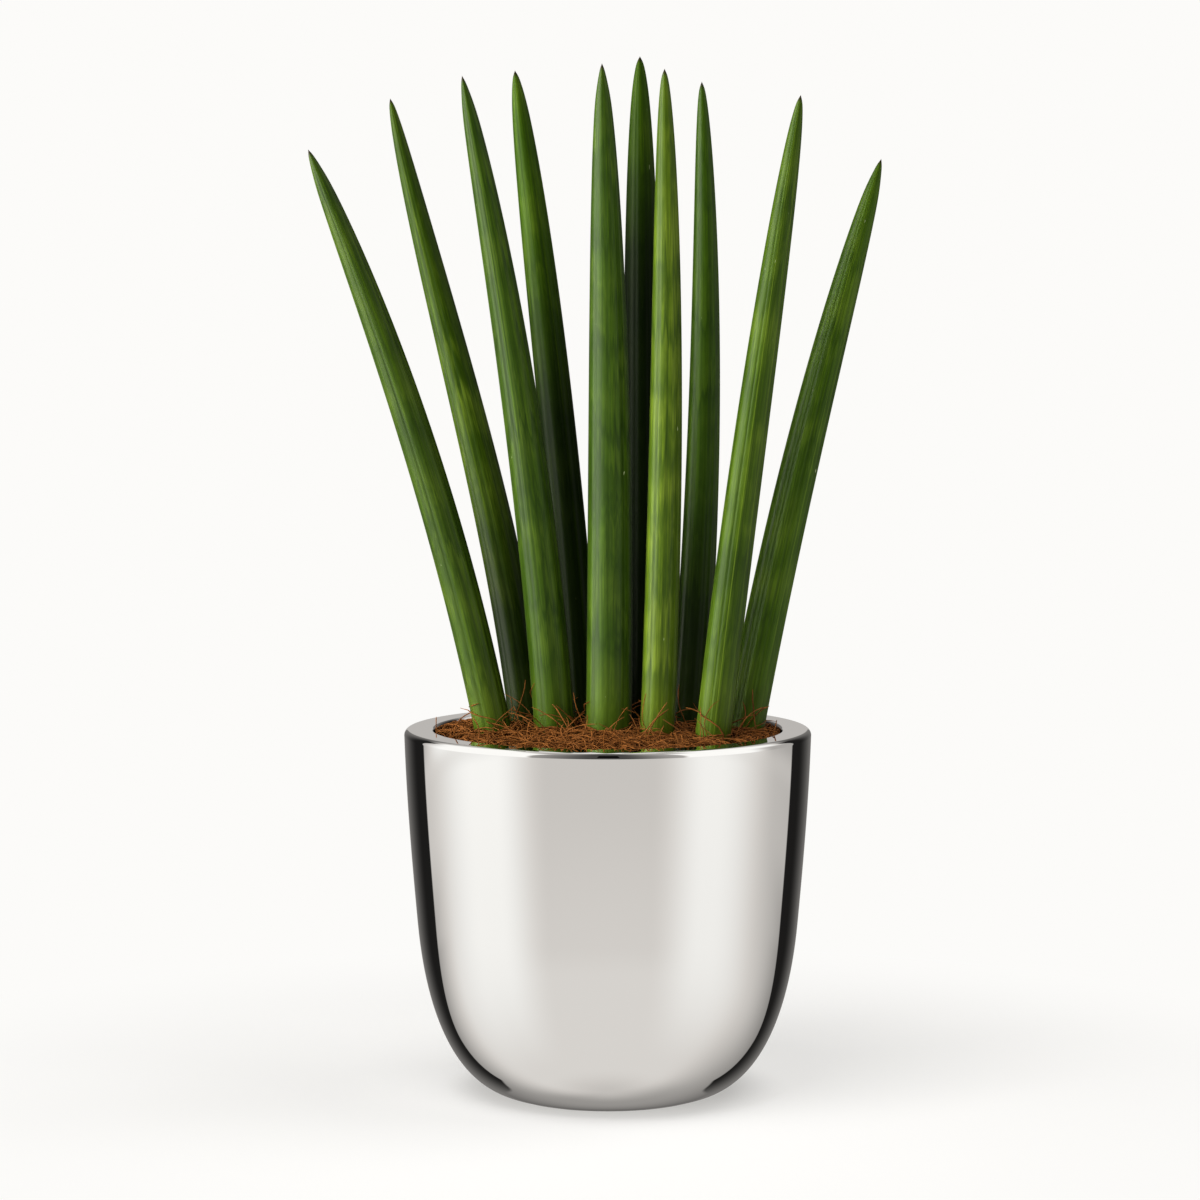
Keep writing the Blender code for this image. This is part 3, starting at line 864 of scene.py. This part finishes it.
class PLANT_OT_filling(bpy.types.Operator):
    """Gives the soil its finish, and lays the coir over it"""

    bl_idname = "plant.filling"
    bl_label = "Soil and coir"

    def execute(self, context):
        settings = context.scene.plant_coir
        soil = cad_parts["soil"]
        soil.data.materials.clear()
        soil.data.materials.append(soil_material())
        materials = coir_materials(settings)
        # The mat is dark coir darkened further: painted shade in the gaps between the fibres
        packed = fibre_material("Packed coir", [MAT_PAINTED_SHADE * part for part in settings.dark])
        piece("coir_mat", mat_mesh(), [packed], "coir")
        chance = random.Random(COIR_SEED)
        shape = fibres_mesh("coir_fibres", mat_fibres(settings, chance), settings.thickness)
        piece("coir_fibres", shape, materials, "coir")
        shape = fibres_mesh("coir_strays", loose_fibres(settings, chance), settings.thickness)
        piece("coir_strays", shape, materials, "coir")
        return {"FINISHED"}


# The studio that the plating mirrors, painted from the first card to the last. Directions are in degrees:
# round the pot from its front (0) by its right (90), its back (180) and its left (270), and up from level.
# A card's brightness comes in over its first side and goes out over its second, and None means no edge
Card = namedtuple("Card", "name level rise fall bottom top", defaults=(None,) * 4)
LENS = 0.0
HORIZON = (-10.5, -8.5)  # the paper's far edge
BEHIND = {"rise": (105, 165), "fall": (195, 255)}
CARDS = (
    Card("room beside the lens", 0.065, rise=(6, 7), fall=(353, 354)),
    Card("room under the lens", 0.065, top=(8, 12)),
    Card("room over the lens", 0.065, bottom=(42, 50)),
    Card("dim walls", 0.42, rise=(8, 48), fall=(300, 352)),
    Card("rear wall", 0.55, rise=(112, 128), fall=(232, 250), bottom=(24, 42)),
    Card("right box", 1.05, rise=(42, 47), fall=(86, 108), bottom=(-12, -10), top=(50, 60)),
    Card("left box", 1.05, rise=(226, 254), fall=(312, 317), bottom=(-12, -10), top=(50, 64)),
    Card("right box above", 1.05, rise=(62, 80), fall=(122, 150), bottom=(16, 36), top=(62, 74)),
    Card("left box above", 1.05, rise=(210, 232), fall=(284, 300), bottom=(16, 36), top=(60, 68)),
    Card("ceiling", 0.85, rise=(90, 112), fall=(225, 262), bottom=(60, 70)),
    Card("paper", 0.72, top=HORIZON),
    Card("paper further off", 0.61, bottom=(-26, -11), top=HORIZON),
    Card("paper to the right", 0.50, rise=(75, 135), fall=(190, 235), top=HORIZON),
    Card("paper behind", 0.35, rise=(60, 170), fall=(195, 265), top=(-48, -24)),
    Card("right box on the paper", 0.96, rise=(24, 58), fall=(64, 112), bottom=(-58, -6), top=HORIZON),
    Card("left box on the paper", 1.01, rise=(230, 278), fall=(292, 326), bottom=(-62, -4), top=HORIZON),
    Card("paper under the pot", 0.58, top=(-90, -64)),
    Card("paper behind the foot", 0.30, **BEHIND, bottom=(-90, -38), top=(-16, -14)),
    Card("shade behind the foot", 0.09, **BEHIND, bottom=(-62, -12), top=(-14, -12)),
)
DEGREES = 180 / math.pi  # in a radian
FLAG_LEVEL, FLAG_SHEEN = 0.012, 0.19  # how bright the flags are, and their sheen near the back
FLAG_REACH = (43.0, 52.0)  # how far each black flag reaches round from the back, low down and higher up
FLAG_TAPER = (-28, -12)
FLAG_FOOT = (-24.0, -45.0)  # the flags' lower edge, beside the gap and further round
FLAG_FOOT_SPREAD = 34.0
FLAG_TOP = (26, 38)
FLAG_EDGE, FLAG_FOOT_EDGE, GAP_EDGE = 0.7, 1, 1  # half of how wide each edge's blur is
SHEEN_REACH = (5, 42)
BACK_GAP = 8.0  # half of the bright gap between the flags
BACK_GAP_LEVEL = 0.5
BACK_GAP_FOOT = (-14, -12)
DIM_TINT, BRIGHT_TINT = (1.0, 0.961, 0.918), (1.0, 0.993, 0.968)
TINT_LEVELS = (0.62, 0.95)
AMBIENT = 0.25  # share of the studio's brightness that lights matt surfaces
FLOOR_SIZE, FLOOR_SIDES, FLOOR_DROP = 3.0, 96, 0.0002
FLOOR_COLOUR = (0.50, 0.496, 0.487, 1)
SENSOR_WIDTH = 36  # in millimetres, like the lens
FLOOR_GLOW, PAINTED_SHADOW_GLOW = 0.53, 0.30  # of the paper near the pot, and right beside its foot, where the lower glow paints a shadow
FLOOR_FADE = (0.18, 0.42)  # where the paper melts into the backdrop, out from the pot's axis
PAINTED_SHADOW_CENTRE, PAINTED_SHADOW_REACH = (0.004, 0.015, 0), (0.050, 0.088)  # of the painted shadow beside the foot
# Soft boxes that light the scene but stay out of the plating's mirror image. Those overhead light the paper
# and the coir, and those at the side the leaves and the coir. The gloss boxes only add the waxy gloss down
# the leaves' left sides
Box = namedtuple("Box", "name place target width height power")
OVERHEAD_BOXES = (
    Box("Front overhead box", (-0.34, -0.52, 1.30), (0, 0, 0.1), 0.8, 0.8, 12.0),
    Box("Right overhead box", (0.60, 0.0, 1.30), (0, 0, 0.1), 0.8, 0.8, 6.0),
)
SIDE_BOXES = (
    Box("Side box", (-1.70, -0.35, 0.60), (0, 0, 0.3), 1.2, 1.2, 60.0),
    Box("Fill box", (-0.60, -1.80, 0.40), (0, 0, 0.3), 1.0, 1.0, 20.0),
)
GLOSS_BOX = Box("Gloss box", (-1.39, -0.56, 0.62), (0, 0, 0.35), 1.73, 1.6, 52.0)
WHITE, LEAF_LIGHT = (1.0, 1.0, 1.0), (1.0, 0.99, 0.90)
END_LEAF = "leaf_10"
END_GLOSS_BOX = Box("Gloss box of the end leaf", (-1.39, -0.56, 0.75), (0, 0, 0.35), 1.73, 1.6, 16.0)


def product(tree, masks):
    """The masks multiplied together, or None if there are none."""
    result = None
    for mask in masks:
        result = mask if result is None else math_node(tree, "MULTIPLY", result, mask)
    return result


def card_mask(tree, card, around, up):
    """1 on a card and 0 off it."""
    masks = []
    if card.rise:
        masks.append(step_node(tree, around, *card.rise))
        masks.append(step_node(tree, around, card.fall[1], card.fall[0]))
    if card.bottom:
        masks.append(step_node(tree, up, *card.bottom))
    if card.top:
        masks.append(step_node(tree, up, card.top[1], card.top[0]))
    return product(tree, masks)


def flags_over(tree, level, around, up):
    """Lays the two black flags behind the pot, and the bright gap between them, over the cards."""
    from_back = math_node(tree, "ABSOLUTE", math_node(tree, "SUBTRACT", around, 180.0))
    reach = step_node(tree, up, *FLAG_TAPER, *FLAG_REACH)
    side = step_node(tree, math_node(tree, "SUBTRACT", from_back, reach), FLAG_EDGE, -FLAG_EDGE)
    foot = step_node(tree, from_back, 0, FLAG_FOOT_SPREAD, *FLAG_FOOT)
    lower = step_node(tree, math_node(tree, "SUBTRACT", up, foot), -FLAG_FOOT_EDGE, FLAG_FOOT_EDGE)
    upper = step_node(tree, up, FLAG_TOP[1], FLAG_TOP[0])
    sheen = step_node(tree, from_back, SHEEN_REACH[1], SHEEN_REACH[0], FLAG_LEVEL, FLAG_SHEEN)
    between = step_node(tree, from_back, BACK_GAP + GAP_EDGE, BACK_GAP - GAP_EDGE)
    gap = math_node(tree, "MULTIPLY", between, step_node(tree, up, *BACK_GAP_FOOT))
    flag = blend_value(tree, gap, sheen, BACK_GAP_LEVEL)
    return blend_value(tree, product(tree, [side, lower, upper]), level, flag)


def studio_world(backdrop):
    """White to the camera. All else sees the studio: soft boxes at both sides, and black flags behind."""
    world = bpy.data.worlds.new("Studio")
    world.use_nodes = True
    tree = world.node_tree
    tree.nodes.clear()
    x, y, z = node_with(tree, "ShaderNodeSeparateXYZ", node_with(tree, "ShaderNodeTexCoord")["Generated"])
    turn = math_node(tree, "ARCTAN2", x, math_node(tree, "MULTIPLY", y, -1.0))
    degrees = math_node(tree, "MULTIPLY", turn, DEGREES)
    around = math_node(tree, "WRAP", degrees, 360.0)
    up = math_node(tree, "MULTIPLY", math_node(tree, "ARCSINE", z), DEGREES)
    level = LENS
    for card in CARDS:
        level = blend_value(tree, card_mask(tree, card, around, up), level, card.level)
    level = flags_over(tree, level, around, up)
    tint = mix_node(tree, step_node(tree, level, *TINT_LEVELS), DIM_TINT, BRIGHT_TINT)
    rays = node_with(tree, "ShaderNodeLightPath")
    share = blend_value(tree, rays["Is Diffuse Ray"], 1.0, AMBIENT)
    level = math_node(tree, "MULTIPLY", level, share)
    studio = node_with(tree, "ShaderNodeBackground", tint, level)[0]
    paper = node_with(tree, "ShaderNodeBackground", (*backdrop, 1))[0]
    seen = node_with(tree, "ShaderNodeMixShader", rays["Is Camera Ray"], studio, paper)[0]
    node_with(tree, "ShaderNodeOutputWorld", seen)
    bpy.context.scene.world = world


def floor_material(backdrop):
    """Pale paper that takes the shadows near the pot, has a painted shadow right beside its foot, and melts
    into the backdrop further out.
    """
    material = bpy.data.materials.new("Backdrop paper")
    material.use_nodes = True
    tree = material.node_tree
    tree.nodes.clear()
    place = object_coordinates(tree)
    distance = node_with(tree, "ShaderNodeVectorMath", place, operation="LENGTH")["Value"]
    fade = step_node(tree, distance, *FLOOR_FADE)
    # A painted shadow: the paper's glow is lower right beside the foot
    away = node_with(tree, "ShaderNodeVectorMath", place, PAINTED_SHADOW_CENTRE, operation="DISTANCE")["Value"]
    strength = step_node(tree, away, *PAINTED_SHADOW_REACH, PAINTED_SHADOW_GLOW, FLOOR_GLOW)
    paper = node_with(tree, "ShaderNodeBsdfDiffuse", FLOOR_COLOUR)[0]
    glow = node_with(tree, "ShaderNodeEmission", (*backdrop, 1), strength)[0]
    near = node_with(tree, "ShaderNodeAddShader", paper, glow)[0]
    far = node_with(tree, "ShaderNodeEmission", (*backdrop, 1))[0]
    mixed = node_with(tree, "ShaderNodeMixShader", fade, near, far)[0]
    node_with(tree, "ShaderNodeOutputMaterial", mixed)
    return material


def add_floor(backdrop):
    shape = bmesh.new()
    bmesh.ops.create_circle(shape, cap_ends=True, segments=FLOOR_SIDES, radius=FLOOR_SIZE)
    bmesh.ops.translate(shape, vec=(0, 0, -FLOOR_DROP), verts=shape.verts)
    mesh = bpy.data.meshes.new("Floor")
    shape.to_mesh(mesh)
    shape.free()
    mesh.materials.append(floor_material(backdrop))
    floor = bpy.data.objects.new("Floor", mesh)
    bpy.context.scene.collection.objects.link(floor)
    floor.visible_glossy = False


def add_light(box, colour, names):
    """A soft box that lights some of the pieces but doesn't show in the plating."""
    light = bpy.data.lights.new(box.name, "AREA")
    light.shape = "RECTANGLE"
    light.size, light.size_y = box.width, box.height
    light.energy = box.power
    light.color = colour
    lamp = bpy.data.objects.new(box.name, light)
    lamp.location = box.place
    lamp.rotation_euler = (Vector(box.target) - Vector(box.place)).to_track_quat("-Z", "Y").to_euler()
    lamp.visible_glossy = False
    bpy.context.scene.collection.objects.link(lamp)
    lit = bpy.data.collections.new(f"Lit by the {box.name.lower()}")
    for name in names:
        lit.objects.link(bpy.data.objects[name])
    lamp.light_linking.receiver_collection = lit
    return lamp


def add_lights():
    leaves = [leaf_piece(node) for node in LEAVES]
    for box in OVERHEAD_BOXES:
        add_light(box, WHITE, ("Floor", *COIR_PIECES))
    for box in SIDE_BOXES:
        add_light(box, LEAF_LIGHT, (*leaves, *COIR_PIECES))
    for box, lit in ((GLOSS_BOX, leaves), (END_GLOSS_BOX, [leaf_piece(END_LEAF)])):
        lamp = add_light(box, LEAF_LIGHT, lit)
        lamp.visible_glossy, lamp.visible_diffuse = True, False
        lamp.data.use_shadow = box is not END_GLOSS_BOX


def add_camera(settings):
    camera = bpy.data.objects.new("Camera", bpy.data.cameras.new("Camera"))
    camera.data.lens = settings.lens
    camera.data.sensor_width = SENSOR_WIDTH
    camera.location = (settings.offset, -settings.distance, settings.height)
    camera.rotation_euler = (math.pi / 2 - settings.pitch, 0, 0)
    bpy.context.scene.collection.objects.link(camera)
    bpy.context.scene.camera = camera


class PLANT_OT_stage(bpy.types.Operator):
    """Sets the pale floor, the soft light and the camera"""

    bl_idname = "plant.stage"
    bl_label = "Stage"

    def execute(self, context):
        settings = context.scene.plant_stage
        studio_world(tuple(settings.backdrop))
        add_floor(tuple(settings.backdrop))
        add_lights()
        add_camera(settings)
        context.scene.view_settings.view_transform = "Standard"
        return {"FINISHED"}


class PLANT_PT_panel(bpy.types.Panel):
    """The plant's pieces and their settings"""

    bl_idname = "PLANT_PT_panel"
    bl_label = "Snake Plant"
    bl_space_type = "VIEW_3D"
    bl_region_type = "UI"
    bl_category = "Snake Plant"

    def draw(self, context):
        for operator, group in BUTTONS:
            box = self.layout.box()
            box.operator(operator.bl_idname)
            settings = getattr(context.scene, group)
            for name in settings.__annotations__:
                box.prop(settings, name)


BUTTONS = (
    (PLANT_OT_pot, "plant_pot"),
    (PLANT_OT_leaves, "plant_leaf"),
    (PLANT_OT_filling, "plant_coir"),
    (PLANT_OT_stage, "plant_stage"),
)
GROUPS = {
    "plant_pot": PotSettings,
    "plant_leaf": LeafSettings,
    "plant_coir": CoirSettings,
    "plant_stage": StageSettings,
}
CLASSES = (*GROUPS.values(), *(operator for operator, _ in BUTTONS), PLANT_PT_panel)


def register():
    for cls in CLASSES:
        bpy.utils.register_class(cls)
    for name, group in GROUPS.items():
        setattr(bpy.types.Scene, name, PointerProperty(type=group))


def unregister():
    for name in GROUPS:
        delattr(bpy.types.Scene, name)
    for cls in reversed(CLASSES):
        bpy.utils.unregister_class(cls)


def main():
    register()
    bpy.ops.plant.pot()
    bpy.ops.plant.leaves()
    bpy.ops.plant.filling()
    bpy.ops.plant.stage()


if __name__ == "__main__":
    main()
